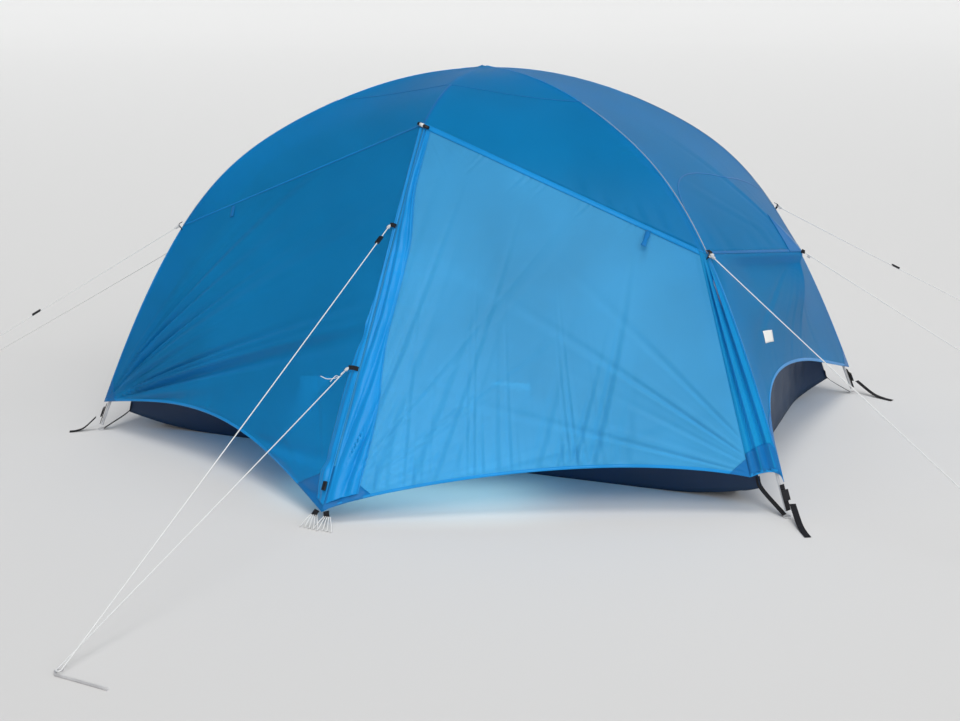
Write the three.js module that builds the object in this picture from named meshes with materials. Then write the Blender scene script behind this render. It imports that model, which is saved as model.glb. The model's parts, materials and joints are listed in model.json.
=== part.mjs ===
// Two-person dome tent: two crossed poles and a short brow pole, a fly with two vestibules, and an
// inner tent on a bathtub floor. Millimetres, +Z up, origin on the ground under the pole hub,
// +X along the sleeping length (to the right seen from the front), front vestibule towards -Y.
import * as THREE from 'three';

// Driving dimensions
const HALF_SPAN_X = 1185;        // hub axis to a pole foot, along the sleeping length
const HALF_SPAN_Y = 670;         // hub axis to a pole foot, across it
const HUB_Z = 1188;              // height of the pole crossing
const POLE_R = 4.5;
const CLIP_T = 0.233;            // place of the upper pole clip, 0 at the foot and 1 at the hub
// Control points of a leg's curve: share of the half span, share of the hub height
const LEG_CONTROL = [[1, 0], [0.658, 0.983], [0.541, 0.677], [0.448, 1], [0, 1]];
const BROW_Y = 475;              // the brow pole's tip
const BROW_Z = 1041;
const BROW_FLAT_Y = 270;         // how far the brow pole leaves the hub level
const HUB_R = 30;
const HUB_HEIGHT = 22;

const FLY_SCALE = 1.014;         // the fly lies this much outside the poles
const FLY_THICKNESS = 2.4;
const SEAM_GAP = 1.6;            // half the gap between neighbouring fly panels
const CROWN_R = 50;
const CROWN_POLE_V = 0.035;       // where the roof panels start round the crown, along a pole seam
const CROWN_BROW_V = 0.12;        // and along the brow seam
const RIDGE_FOOT = new THREE.Vector3(-18, -1176, 38);  // fly corner at the front vestibule's peg
const HOOD_TIP = new THREE.Vector3(1080, 0, 636);      // pulled-out point of an end hood
const LEG_HEM = 0.905;           // where a leg seam ends, 0 at the clip and 1 at the foot
// Hems between ridge and leg: rise as a share of the leg, skew above 1 puts the crest nearer
// the leg, and fullness below 1 flattens the crest
const PANEL_HEM = { rise: 0.10, skew: 1, fullness: 1 };
const DOOR_HEM = { rise: 0.095, skew: 1.7, fullness: 0.4 };
const END_HEM_RISE = 0.26;
const END_HEM_SKEW = 0.47;       // an end's hem is highest towards one leg; 1 would be even
const BAND_FOOT = 95;            // width of the fixed band beside a door, at the hem
const BAND_TOP = 26;
const BAND_SHARE = 0.08;

const TUB_HALF_X = 1000;         // flat floor of the inner tent
const TUB_HALF_Y = 575;
const TUB_FLARE = 12;            // how far a wall leans out at its top
const TUB_CORNER = new THREE.Vector3(95, 45, 60);      // how far a corner is drawn out and lifted
const TUB_CORNER_POWER = 16;     // how tightly that stays near the corner
const TUB_INSET = 100;           // width of the floor's rim that may lift
const TUB_SIDE_WALL = 190;
const TUB_END_WALL = 330;
const TUB_THICKNESS = 3;
const INNER_SCALE = 0.955;       // the inner tent hangs this far inside the poles
const INNER_THICKNESS = 2.4;
const INNER_CAP_T = 0.62;        // where the roof cap of the inner tent meets its end walls

const CORD_R = 1.5;
const PEG_R = 3;
const PEG_LENGTH = 150;
const PEG_HOOK_R = 12;
const CORD_END_Z = 8;            // a cord's end rests on top of its peg's hook
const CORD_TURN_R = 6;           // how tightly a ridge cord turns back at its peg
const CORNER_PEG = {
  front_left: [-1970, -1150], front_right: [1925, -968], back_left: [-1970, 1150], back_right: [1966, 1413],
};
const HOOD_PEG = { left: [-2290, 0], right: [1951, 502] };
const RIDGE_PEG = { front: [-130, -2140], back: [110, 1800] };
const RIDGE_GUY_HIGH = 0.285;    // where the two ridge guys leave the ridge, 0 at its top
const RIDGE_GUY_LOW = 0.655;
const TENSIONER_NEAR = 550;      // from the clip to the tensioner, beside a fixed panel
const TENSIONER_FAR = 1050;      // and beside a door
const DOOR_SWING_SIDE = 1;       // the front door is on the +X side

const CORNERS = [
  { name: 'front_left', sx: -1, sy: -1 },
  { name: 'front_right', sx: 1, sy: -1 },
  { name: 'back_left', sx: -1, sy: 1 },
  { name: 'back_right', sx: 1, sy: 1 },
];

const COLOURS = {
  pole: { color: 0xb9bcc0, roughness: 0.35, metalness: 0.9 },
  hub: { color: 0x1c1d20, roughness: 0.6, metalness: 0 },
  fly: { color: 0x1f70b0, roughness: 0.6, metalness: 0 },
  door: { color: 0x4f9bd0, roughness: 0.6, metalness: 0 },
  inner: { color: 0xd7dde0, roughness: 0.8, metalness: 0 },
  tub: { color: 0x1e3149, roughness: 0.7, metalness: 0 },
  webbing: { color: 0x17181b, roughness: 0.8, metalness: 0 },
  cord: { color: 0xe4e6e6, roughness: 0.8, metalness: 0 },
  plastic: { color: 0x15161a, roughness: 0.45, metalness: 0 },
  peg: { color: 0xaeb2b6, roughness: 0.35, metalness: 0.9 },
};

const tent = new THREE.Group();

function addPart(name, geometry, finish) {
  const mesh = new THREE.Mesh(geometry, new THREE.MeshStandardMaterial(COLOURS[finish]));
  mesh.name = name;
  tent.add(mesh);
  return mesh;
}

function mix(a, b, share) {
  return a.clone().lerp(b, share);
}

function smooth(x) {
  const t = Math.min(Math.max(x, 0), 1);
  return t * t * (3 - 2 * t);
}

// Centre lines

function bezier(points, t) {
  let level = points.map((point) => [...point]);
  while (level.length > 1) {
    level = level.slice(1).map((point, i) => point.map((value, k) => level[i][k] * (1 - t) + value * t));
  }
  return level[0];
}

function polePoint(sx, sy, t) {
  const [reach, rise] = bezier(LEG_CONTROL, t);
  return new THREE.Vector3(sx * reach * HALF_SPAN_X, sy * reach * HALF_SPAN_Y, rise * HUB_Z);
}

function browPoint(sy, t) {
  const [y, z] = bezier([[0, HUB_Z], [BROW_FLAT_Y, HUB_Z], [BROW_Y, BROW_Z]], t);
  return new THREE.Vector3(0, sy * y, z);
}

// Fly seams: v is 0 at the hub and 1 at the clip or brow tip; w is 0 at the clip and 1 at the foot

function flyPole(sx, sy, v) {
  return polePoint(sx, sy, 1 - v * (1 - CLIP_T)).multiplyScalar(FLY_SCALE);
}

function flyBrow(sy, v) {
  return browPoint(sy, v).multiplyScalar(FLY_SCALE);
}

function flyLeg(sx, sy, w) {
  return polePoint(sx, sy, CLIP_T * (1 - w)).multiplyScalar(FLY_SCALE);
}

function ridgePoint(sy, w) {
  const foot = new THREE.Vector3(RIDGE_FOOT.x * -sy, RIDGE_FOOT.y * -sy, RIDGE_FOOT.z);
  return mix(flyBrow(sy, 1), foot, w);
}

function hingePoint(sx, sy, w) {
  const top = flyLeg(sx, sy, 0);
  const bottom = flyLeg(sx, sy, 1);
  const towardsApex = ridgePoint(sy, 0).sub(top).setLength(BAND_TOP);
  const towardsPeg = ridgePoint(sy, 1).sub(bottom).setLength(BAND_FOOT);
  return mix(top.add(towardsApex), bottom.add(towardsPeg), w);
}

// Solids

// A closed sheet of even thickness on the surface point(u, v), which is cut short by edgeGap
// on its u sides, so that neighbours stay apart.
function sheetGeometry(point, across, along, thickness, edgeGap = SEAM_GAP) {
  const rows = [];
  for (let j = 0; j <= along; j += 1) {
    const v = j / along;
    const width = point(1, v).distanceTo(point(0, v));
    const trim = Math.min(edgeGap / width, 0.3);
    const row = [];
    for (let i = 0; i <= across; i += 1) {
      row.push(point(trim + (1 - 2 * trim) * (i / across), v));
    }
    rows.push(row);
  }
  const normalAt = (i, j) => {
    const alongU = rows[j][Math.min(i + 1, across)].clone().sub(rows[j][Math.max(i - 1, 0)]);
    const alongV = rows[Math.min(j + 1, along)][i].clone().sub(rows[Math.max(j - 1, 0)][i]);
    return alongU.cross(alongV).normalize();
  };
  const positions = [];
  for (const side of [0.5, -0.5]) {
    for (let j = 0; j <= along; j += 1) {
      for (let i = 0; i <= across; i += 1) {
        positions.push(...rows[j][i].clone().addScaledVector(normalAt(i, j), side * thickness).toArray());
      }
    }
  }
  const layer = (across + 1) * (along + 1);
  const at = (i, j, side) => side * layer + j * (across + 1) + i;
  const index = [];
  const quad = (a, b, c, d) => index.push(a, b, c, a, c, d);
  for (let j = 0; j < along; j += 1) {
    for (let i = 0; i < across; i += 1) {
      quad(at(i, j, 0), at(i + 1, j, 0), at(i + 1, j + 1, 0), at(i, j + 1, 0));
      quad(at(i, j, 1), at(i, j + 1, 1), at(i + 1, j + 1, 1), at(i + 1, j, 1));
    }
    quad(at(0, j, 0), at(0, j + 1, 0), at(0, j + 1, 1), at(0, j, 1));
    quad(at(across, j, 0), at(across, j, 1), at(across, j + 1, 1), at(across, j + 1, 0));
  }
  for (let i = 0; i < across; i += 1) {
    quad(at(i, 0, 0), at(i, 0, 1), at(i + 1, 0, 1), at(i + 1, 0, 0));
    quad(at(i, along, 0), at(i + 1, along, 0), at(i + 1, along, 1), at(i, along, 1));
  }
  const geometry = new THREE.BufferGeometry();
  geometry.setAttribute('position', new THREE.Float32BufferAttribute(positions, 3));
  geometry.setIndex(index);
  return geometry;
}

function tubeGeometry(points, radius, steps, sides = 8) {
  const section = new THREE.Shape();
  section.absarc(0, 0, radius, 0, Math.PI * 2);
  const path = new THREE.CatmullRomCurve3(points, false, 'centripetal');
  return new THREE.ExtrudeGeometry(section, {
    steps, curveSegments: sides / 2, bevelEnabled: false, extrudePath: path,
  });
}

// A round cord through a few points, with a ring of vertices at each one
function cordGeometry(points, radius, sides = 8) {
  const steps = points.slice(1).map((point, i) => point.clone().sub(points[i]).normalize());
  const headings = points.map((_, i) => {
    const before = steps[Math.max(i - 1, 0)];
    const after = steps[Math.min(i, steps.length - 1)];
    return before.clone().add(after).normalize();
  });
  const across = new THREE.Vector3(0, 0, 1).cross(headings[0]).normalize();
  const vertices = [];
  points.forEach((point, i) => {
    if (i > 0) across.applyQuaternion(new THREE.Quaternion().setFromUnitVectors(headings[i - 1], headings[i]));
    const up = new THREE.Vector3().crossVectors(headings[i], across);
    for (let k = 0; k < sides; k += 1) {
      const angle = (2 * Math.PI * k) / sides;
      vertices.push(point.clone().addScaledVector(across, radius * Math.cos(angle))
        .addScaledVector(up, radius * Math.sin(angle)));
    }
  });
  vertices.push(points[0].clone(), points[points.length - 1].clone());
  const last = (points.length - 1) * sides;
  const faces = [];
  for (let k = 0; k < sides; k += 1) {
    const next = (k + 1) % sides;
    for (let i = 0; i < last; i += sides) {
      faces.push(i + k, i + next, i + sides + next, i + k, i + sides + next, i + sides + k);
    }
    faces.push(last + sides, next, k, last + sides + 1, last + k, last + next);
  }
  const geometry = new THREE.BufferGeometry().setFromPoints(vertices);
  geometry.setIndex(faces);
  geometry.computeVertexNormals();
  return geometry;
}

// A straight bar whose section is a shape in x (across) and y (outwards), from start to end
function barGeometry(section, start, end, outwards) {
  const direction = end.clone().sub(start);
  const length = direction.length();
  direction.normalize();
  const across = new THREE.Vector3().crossVectors(outwards, direction).normalize();
  const up = new THREE.Vector3().crossVectors(direction, across);
  const geometry = new THREE.ExtrudeGeometry(section, { depth: length, curveSegments: 2, bevelEnabled: false });
  const frame = new THREE.Matrix4().makeBasis(across, up, direction);
  geometry.applyMatrix4(frame.setPosition(start));
  return geometry;
}

function roundedSection(width, height, radius) {
  const x = width / 2 - radius;
  const y = height / 2 - radius;
  const section = new THREE.Shape();
  section.absarc(x, y, radius, 0, Math.PI / 2);
  section.absarc(-x, y, radius, Math.PI / 2, Math.PI);
  section.absarc(-x, -y, radius, Math.PI, Math.PI * 1.5);
  section.absarc(x, -y, radius, Math.PI * 1.5, Math.PI * 2);
  section.closePath();
  return section;
}

function withHole(section, radius) {
  const hole = new THREE.Path();
  hole.absarc(0, 0, radius, 0, Math.PI * 2, true);
  section.holes.push(hole);
  return section;
}

function straightCord(start, end) {
  const section = new THREE.Shape();
  section.absarc(0, 0, CORD_R, 0, Math.PI * 2);
  return barGeometry(section, start, end, new THREE.Vector3(0, 0, 1));
}

// Frame

function poleStretch(curve, from, to, count) {
  return Array.from({ length: count + 1 }, (_, i) => curve(from + (to - from) * (i / count)));
}

function addFrame() {
  const hub = new THREE.CylinderGeometry(HUB_R, HUB_R, HUB_HEIGHT, 24);
  hub.rotateX(Math.PI / 2);
  hub.translate(0, 0, HUB_Z);
  addPart('pole_hub', hub, 'hub');
  const footT = 0.004;
  const joinT = 0.34;
  const joinGapT = 0.0012;
  const hubT = 0.9873;
  for (const { name, sx, sy } of CORNERS) {
    const leg = (t) => polePoint(sx, sy, t);
    addPart(`pole_lower_${name}`, tubeGeometry(poleStretch(leg, footT, joinT, 8), POLE_R, 8), 'pole');
    const upper = poleStretch(leg, joinT + joinGapT, hubT, 14);
    addPart(`pole_upper_${name}`, tubeGeometry(upper, POLE_R, 14), 'pole');
  }
  for (const [name, sy] of [['front', -1], ['back', 1]]) {
    const brow = (t) => browPoint(sy, t);
    addPart(`brow_pole_${name}`, tubeGeometry(poleStretch(brow, 0.062, 0.985, 8), POLE_R, 8), 'pole');
  }
}

// Fly

function flyRoofFront(sy) {
  return (u, v) => {
    const side = u < 0.5 ? -1 : 1;
    const middle = flyBrow(sy, CROWN_BROW_V + (1 - CROWN_BROW_V) * v);
    const edge = flyPole(side * -sy, sy, CROWN_POLE_V + (1 - CROWN_POLE_V) * v);
    return mix(middle, edge, Math.abs(2 * u - 1));
  };
}

function hoodBulge(sx) {
  const chordMiddle = flyPole(sx, 1, 1).setY(0);
  return new THREE.Vector3(HOOD_TIP.x * sx, 0, HOOD_TIP.z).sub(chordMiddle);
}

function flyRoofEnd(sx) {
  return (u, v) => {
    const row = CROWN_POLE_V + (1 - CROWN_POLE_V) * v;
    const chord = mix(flyPole(sx, -sx, row), flyPole(sx, sx, row), u);
    const pull = row ** 4 * (1 - Math.abs(2 * u - 1));
    return chord.addScaledVector(hoodBulge(sx), pull);
  };
}

function flyEnd(sx) {
  return (u, v) => {
    const side = Math.abs(2 * u - 1);
    const hem = LEG_HEM - END_HEM_RISE * Math.sin(Math.PI * u ** END_HEM_SKEW);
    const w = 0.012 + (hem - 0.012) * v;
    const chord = mix(flyLeg(sx, -sx, w), flyLeg(sx, sx, w), u);
    return chord.addScaledVector(hoodBulge(sx), 0.94 * (1 - smooth(w / 0.8)) * (1 - side));
  };
}

function hemShare(s, hem) {
  const arch = Math.max(0, Math.sin(Math.PI * s ** hem.skew));
  return 1 - (1 - LEG_HEM) * s - hem.rise * arch ** hem.fullness;
}

// A vestibule panel between the ridge (share 0) and the leg (share 1)
function vestibulePanel(sy, legSide, legCurve, fromShare, toShare, hem) {
  return (u, v) => {
    const share = fromShare + (toShare - fromShare) * u;
    const w = 0.006 + (hemShare(share, hem) - 0.006) * v;
    const inner = legSide === 'ridge' ? ridgePoint(sy, w) : legSide(w);
    return mix(inner, legCurve(w), u);
  };
}

function addFly() {
  const crown = new THREE.CylinderGeometry(CROWN_R, CROWN_R, FLY_THICKNESS, 24);
  crown.rotateX(Math.PI / 2);
  crown.translate(0, 0, HUB_Z * FLY_SCALE);
  addPart('fly_crown', crown, 'fly');
  for (const [end, sy] of [['front', -1], ['back', 1]]) {
    addPart(`fly_roof_${end}`, sheetGeometry(flyRoofFront(sy), 16, 10, FLY_THICKNESS), 'fly');
  }
  for (const [end, sx] of [['left', -1], ['right', 1]]) {
    addPart(`fly_roof_${end}`, sheetGeometry(flyRoofEnd(sx), 10, 12, FLY_THICKNESS), 'fly');
    addPart(`fly_end_${end}`, sheetGeometry(flyEnd(sx), 12, 8, FLY_THICKNESS), 'fly');
  }
  for (const [end, sy] of [['front', -1], ['back', 1]]) {
    const doorSide = DOOR_SWING_SIDE * -sy;
    const leg = (w) => flyLeg(-doorSide, sy, w);
    const doorLeg = (w) => flyLeg(doorSide, sy, w);
    const hinge = (w) => hingePoint(doorSide, sy, w);
    const panel = vestibulePanel(sy, 'ridge', leg, 0, 1, PANEL_HEM);
    const door = vestibulePanel(sy, 'ridge', hinge, 0, 1 - BAND_SHARE, DOOR_HEM);
    const band = vestibulePanel(sy, hinge, doorLeg, 1 - BAND_SHARE, 1, DOOR_HEM);
    const flip = (surface) => (u, v) => surface(1 - u, v);
    addPart(`fly_panel_${end}`, sheetGeometry(flip(panel), 12, 10, FLY_THICKNESS), 'fly');
    addPart(`fly_door_${end}`, sheetGeometry(door, 12, 10, FLY_THICKNESS), 'door');
    addPart(`fly_door_band_${end}`, sheetGeometry(band, 3, 10, FLY_THICKNESS), 'fly');
  }
}

// Inner tent

// Points round the tub, counter-clockwise: grow moves the sides out, and drawn (0 to 1) is how
// much of the corners' pull the ring takes
function tubRing(grow, drawn, heightAt) {
  const stops = [0, 0.02, 0.05, 0.1, 0.25, 0.5, 0.75, 0.9, 0.95, 0.98];
  const corners = [[1, -1], [1, 1], [-1, 1], [-1, -1]];
  return corners.flatMap(([fromX, fromY], k) => {
    const [toX, toY] = corners[(k + 1) % corners.length];
    return stops.map((stop) => {
      const x = fromX + (toX - fromX) * stop;
      const y = fromY + (toY - fromY) * stop;
      const pull = Math.abs(x * y) ** TUB_CORNER_POWER;
      return [
        x * (TUB_HALF_X + grow) + Math.sign(x) * pull * drawn * TUB_CORNER.x,
        y * (TUB_HALF_Y + grow) + Math.sign(y) * pull * drawn * TUB_CORNER.y,
        heightAt(Math.abs(x), pull),
      ];
    });
  });
}

function tubGeometry() {
  const wallTop = (x) => TUB_SIDE_WALL + (TUB_END_WALL - TUB_SIDE_WALL) * smooth((x - 0.86) / 0.12);
  const lifted = (base) => (x, pull) => base + pull * TUB_CORNER.z;
  const rings = [
    tubRing(-TUB_INSET, 0, () => 0),
    tubRing(0, 1, lifted(0)),
    tubRing(TUB_FLARE, 0, wallTop),
    tubRing(TUB_FLARE - TUB_THICKNESS, 0, wallTop),
    tubRing(-TUB_THICKNESS, 1, lifted(TUB_THICKNESS)),
    tubRing(-TUB_INSET, 0, () => TUB_THICKNESS),
  ];
  const count = rings[0].length;
  const positions = rings.flat(2);
  positions.push(0, 0, 0, 0, 0, TUB_THICKNESS);
  const index = [];
  for (let r = 0; r < rings.length - 1; r += 1) {
    for (let i = 0; i < count; i += 1) {
      const next = (i + 1) % count;
      const [a, b] = [r * count + i, r * count + next];
      index.push(a, b, b + count, a, b + count, a + count);
    }
  }
  const under = rings.length * count;
  const last = (rings.length - 1) * count;
  for (let i = 0; i < count; i += 1) {
    const next = (i + 1) % count;
    index.push(under, next, i);
    index.push(under + 1, last + i, last + next);
  }
  const geometry = new THREE.BufferGeometry();
  geometry.setAttribute('position', new THREE.Float32BufferAttribute(positions, 3));
  geometry.setIndex(index);
  return geometry;
}

function innerPole(sx, sy, t) {
  return polePoint(sx, sy, t).multiplyScalar(INNER_SCALE);
}

function innerEnd(sx) {
  const footT = 0.096;
  return (u, v) => {
    const t = INNER_CAP_T - 0.006 + (footT - INNER_CAP_T) * v;
    return mix(innerPole(sx, -sx, t), innerPole(sx, sx, t), u);
  };
}

function innerRoof() {
  return (u, v) => {
    const across = 2 * u - 1;
    const along = 2 * v - 1;
    const reach = Math.max(Math.abs(across), Math.abs(along));
    const t = 1 - (1 - INNER_CAP_T) * reach;
    const [share, rise] = bezier(LEG_CONTROL, t);
    const scale = reach > 0 ? share / reach : 0;
    const x = across * scale * HALF_SPAN_X;
    const y = along * scale * HALF_SPAN_Y;
    return new THREE.Vector3(x, y, rise * HUB_Z).multiplyScalar(INNER_SCALE);
  };
}

function addInner() {
  addPart('tub_floor', tubGeometry(), 'tub');
  for (const [end, sx] of [['left', -1], ['right', 1]]) {
    addPart(`inner_wall_${end}`, sheetGeometry(innerEnd(sx), 6, 12, INNER_THICKNESS), 'inner');
  }
  addPart('inner_roof', sheetGeometry(innerRoof(), 10, 10, INNER_THICKNESS, 0), 'inner');
}

// Corner straps, buckles and zip sliders

function legOutwards(sx, sy) {
  return new THREE.Vector3(sx * HALF_SPAN_X, sy * HALF_SPAN_Y, 0).normalize();
}

function addCornerStraps() {
  const strapSection = () => roundedSection(18, 1.6, 0.7);
  const buckleSection = () => roundedSection(26, 5, 1.5);
  for (const { name, sx, sy } of CORNERS) {
    const out = legOutwards(sx, sy);
    const offset = out.clone().multiplyScalar(POLE_R + 4);
    const top = polePoint(sx, sy, 0.0205).add(offset);
    const foot = polePoint(sx, sy, 0.005).add(offset);
    addPart(`corner_strap_${name}`, barGeometry(strapSection(), foot, top, out), 'webbing');
    const buckleOffset = out.clone().multiplyScalar(POLE_R + 9);
    const start = polePoint(sx, sy, 0.011).add(buckleOffset);
    const end = polePoint(sx, sy, 0.0175).add(buckleOffset);
    addPart(`ladder_buckle_${name}`, barGeometry(buckleSection(), start, end, out), 'plastic');
  }
}

function addZipSliders() {
  for (const [end, sy] of [['front', -1], ['back', 1]]) {
    const along = ridgePoint(sy, 1).sub(ridgePoint(sy, 0)).normalize();
    const outwards = new THREE.Vector3(0, -along.z * sy, along.y * sy).normalize();
    const lift = outwards.clone().multiplyScalar(10 * Math.sign(outwards.z));
    const onTape = new THREE.Vector3(DOOR_SWING_SIDE * sy * 8, 0, 0);
    const start = ridgePoint(sy, 0.93).add(lift).add(onTape);
    const finish = start.clone().addScaledVector(along, 26);
    addPart(`zip_slider_${end}`, barGeometry(roundedSection(12, 7, 2), start, finish, lift), 'plastic');
  }
}

// Guylines, tensioners and pegs

// A hooked peg that lies on the ground across its cord, with its hook round the cord's end
function addPeg(name, at, cordStart) {
  const outwards = at.clone().sub(cordStart).setZ(0).normalize();
  const along = new THREE.Vector3(-outwards.y, outwards.x, 0);
  const place = (forward, back) => at.clone().setZ(PEG_R)
    .addScaledVector(along, forward).addScaledVector(outwards, -back);
  const points = [];
  for (let k = 0; k <= 6; k += 1) {
    const angle = Math.PI * (k / 6);
    points.push(place(-PEG_HOOK_R * Math.sin(angle), PEG_HOOK_R * Math.cos(angle)));
  }
  points.push(place(PEG_LENGTH * 0.3, -PEG_HOOK_R), place(PEG_LENGTH, -PEG_HOOK_R));
  addPart(name, tubeGeometry(points, PEG_R, 10), 'peg');
}

function addTensioner(name, from, to, distance) {
  const along = to.clone().sub(from).normalize();
  const start = from.clone().addScaledVector(along, distance);
  const end = start.clone().addScaledVector(along, 30);
  const section = withHole(roundedSection(14, 7, 2), CORD_R + 0.9);
  addPart(name, barGeometry(section, start, end, new THREE.Vector3(0, 0, 1)), 'plastic');
}

function addGuylines() {
  const pegEnd = ([x, y]) => new THREE.Vector3(x, y, CORD_END_Z);
  for (const { name, sx, sy } of CORNERS) {
    const clip = flyLeg(sx, sy, 0).addScaledVector(legOutwards(sx, sy), 14);
    const end = pegEnd(CORNER_PEG[name]);
    const besideDoor = sx === -sy * DOOR_SWING_SIDE;
    addPart(`guyline_${name}`, straightCord(clip, end), 'cord');
    addPeg(`peg_${name}`, end, clip);
    addTensioner(`tensioner_${name}`, clip, end, besideDoor ? TENSIONER_FAR : TENSIONER_NEAR);
  }
  for (const [side, sx] of [['left', -1], ['right', 1]]) {
    const tip = new THREE.Vector3((HOOD_TIP.x + 8) * sx, 0, HOOD_TIP.z);
    const end = pegEnd(HOOD_PEG[side]);
    addPart(`hood_guyline_${side}`, straightCord(tip, end), 'cord');
    addPeg(`hood_peg_${side}`, end, tip);
  }
  for (const [side, sy] of [['front', -1], ['back', 1]]) {
    const fixedSide = DOOR_SWING_SIDE * sy;
    const leave = (w, aside) => ridgePoint(sy, w).add(new THREE.Vector3(fixedSide * aside, sy * 18, 10));
    const high = leave(RIDGE_GUY_HIGH, 12);
    const low = leave(RIDGE_GUY_LOW, 25);
    const end = pegEnd(RIDGE_PEG[side]);
    const turn = [];
    for (let k = 0; k <= 6; k += 1) {
      const angle = Math.PI * (k / 6);
      turn.push(end.clone().add(new THREE.Vector3(
        fixedSide * CORD_TURN_R * Math.cos(angle), sy * CORD_TURN_R * Math.sin(angle), 0)));
    }
    addPart(`ridge_guyline_${side}`, cordGeometry([low, ...turn, high], CORD_R), 'cord');
    addPeg(`ridge_peg_${side}`, end, high);
    addTensioner(`ridge_tensioner_${side}`, high, turn[6], 60);
  }
}

addFrame();
addFly();
addInner();
addCornerStraps();
addZipSliders();
addGuylines();

export default tent;
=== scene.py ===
"""Dome tent: the cloth, cords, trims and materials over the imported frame, with a plain studio stage."""
import json
import math

import bmesh
import bpy
import numpy as np
from mathutils import Matrix, Vector


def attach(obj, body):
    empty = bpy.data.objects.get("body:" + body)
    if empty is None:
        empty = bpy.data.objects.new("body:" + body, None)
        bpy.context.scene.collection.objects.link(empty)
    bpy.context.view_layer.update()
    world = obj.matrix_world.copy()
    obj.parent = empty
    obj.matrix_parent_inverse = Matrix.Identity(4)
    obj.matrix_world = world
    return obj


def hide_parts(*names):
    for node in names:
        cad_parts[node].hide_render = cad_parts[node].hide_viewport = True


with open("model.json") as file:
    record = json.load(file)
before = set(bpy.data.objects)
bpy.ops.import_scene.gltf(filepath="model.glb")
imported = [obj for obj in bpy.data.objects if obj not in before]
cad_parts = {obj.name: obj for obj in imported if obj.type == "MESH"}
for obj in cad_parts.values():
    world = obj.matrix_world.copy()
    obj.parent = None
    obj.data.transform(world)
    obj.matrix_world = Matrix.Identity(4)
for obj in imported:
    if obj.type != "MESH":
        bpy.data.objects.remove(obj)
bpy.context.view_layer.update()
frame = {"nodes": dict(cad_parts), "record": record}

# Driving dimensions, the same as the frame's, in metres
HALF_SPAN_X = 1.185
HALF_SPAN_Y = 0.670
HUB_Z = 1.188
CLIP_T = 0.233
LEG_CONTROL = [(1, 0), (0.658, 0.983), (0.541, 0.677), (0.448, 1), (0, 1)]
BROW_CONTROL = [(0, HUB_Z), (0.270, HUB_Z), (0.475, 1.041)]
FLY_SCALE = 1.014
RIDGE_FOOT_X = 0.018
RIDGE_FOOT_Y = 1.176
RIDGE_FOOT_Z = 0.038
HOOD_TIP_X = 1.080
HOOD_TIP_Z = 0.636
LEG_HEM = 0.905
PANEL_HEM = (0.10, 1, 1)       # rise, skew towards the leg, fullness
DOOR_HEM = (0.095, 1.7, 0.4)
END_HEM_RISE = 0.26
END_HEM_SKEW = 0.47
BAND_FOOT = 0.095
BAND_TOP = 0.026
BAND_SHARE = 0.08
TUB_HALF_X = 1.000
TUB_HALF_Y = 0.575
TUB_FLARE = 0.012
TUB_BASE = 0.0014              # height of the floor's cloth off the ground
TUB_CORNER = (0.095, 0.045, 0.060)
TUB_CORNER_POWER = 16
TUB_SIDE_WALL = 0.190
TUB_END_WALL = 0.330
INNER_SCALE = 0.955
INNER_CAP_T = 0.62
INNER_FOOT_T = 0.096
CORD_D = 0.003
CORD_END_Z = 0.008
CORD_TURN_R = 0.006
CORNER_PEG = {"front_left": (-1.970, -1.150), "front_right": (1.925, -0.968),
              "back_left": (-1.970, 1.150), "back_right": (1.966, 1.413)}
HOOD_PEG = {"left": (-2.290, 0.0), "right": (1.951, 0.502)}
RIDGE_PEG = {"front": (-0.130, -2.140), "back": (0.110, 1.800)}
RIDGE_GUY_HIGH = 0.285
RIDGE_GUY_LOW = 0.655
INNER_CLIPS = (0.125, 0.195, 0.300, 0.420, 0.540)      # where the inner tent hooks on, up each pole
CLOTH = 0.0008                  # thickness of a single layer of cloth
STRAP_TAIL = {"front_left": (-1.269, -0.730), "front_right": (1.259, -0.795),
              "back_left": (-1.290, 0.740), "back_right": (1.330, 0.610)}

CORNERS = {"front_left": (-1, -1), "front_right": (1, -1), "back_left": (-1, 1), "back_right": (1, 1)}
ENDS = {"front": -1, "back": 1}
SIDES = {"left": -1, "right": 1}


# Camera: the photograph's viewpoint

def put_in_scene(obj):
    bpy.context.scene.collection.objects.link(obj)


def set_camera():
    yaw, pitch, roll = math.radians(-23.04), math.radians(14.71), math.radians(-0.91)
    forward = Vector((math.sin(yaw) * math.cos(pitch), math.cos(yaw) * math.cos(pitch), -math.sin(pitch)))
    level = Vector((math.cos(yaw), -math.sin(yaw), 0))
    above = level.cross(forward)
    right = math.cos(roll) * level + math.sin(roll) * above
    up = math.cos(roll) * above - math.sin(roll) * level
    camera = bpy.data.objects.new("camera", bpy.data.cameras.new("camera"))
    camera.data.sensor_width = 36
    camera.data.lens = 49.27
    turn = Matrix((right, up, -forward)).transposed().to_4x4()
    camera.matrix_world = Matrix.Translation((1.744, -4.172, 1.374)) @ turn
    put_in_scene(camera)
    bpy.context.scene.camera = camera


# Centre lines and seams, as the frame has them

def bezier(points, t):
    level = [np.asarray(point, float) for point in points]
    t = np.asarray(t, float)[..., None]
    while len(level) > 1:
        level = [a * (1 - t) + b * t for a, b in zip(level, level[1:])]
    return level[0]


def mix(a, b, share):
    share = np.asarray(share, float)[..., None]
    return a * (1 - share) + b * share


def grid(across, down):
    """Two arrays over a grid, each spread as (start, end, count)."""
    return np.meshgrid(np.linspace(*across), np.linspace(*down))


def unit(vector):
    return vector / np.linalg.norm(vector)


def smooth(x):
    t = np.clip(x, 0, 1)
    return t * t * (3 - 2 * t)


def stack(x, y, z):
    return np.stack(np.broadcast_arrays(x, y, z), axis=-1)


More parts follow.
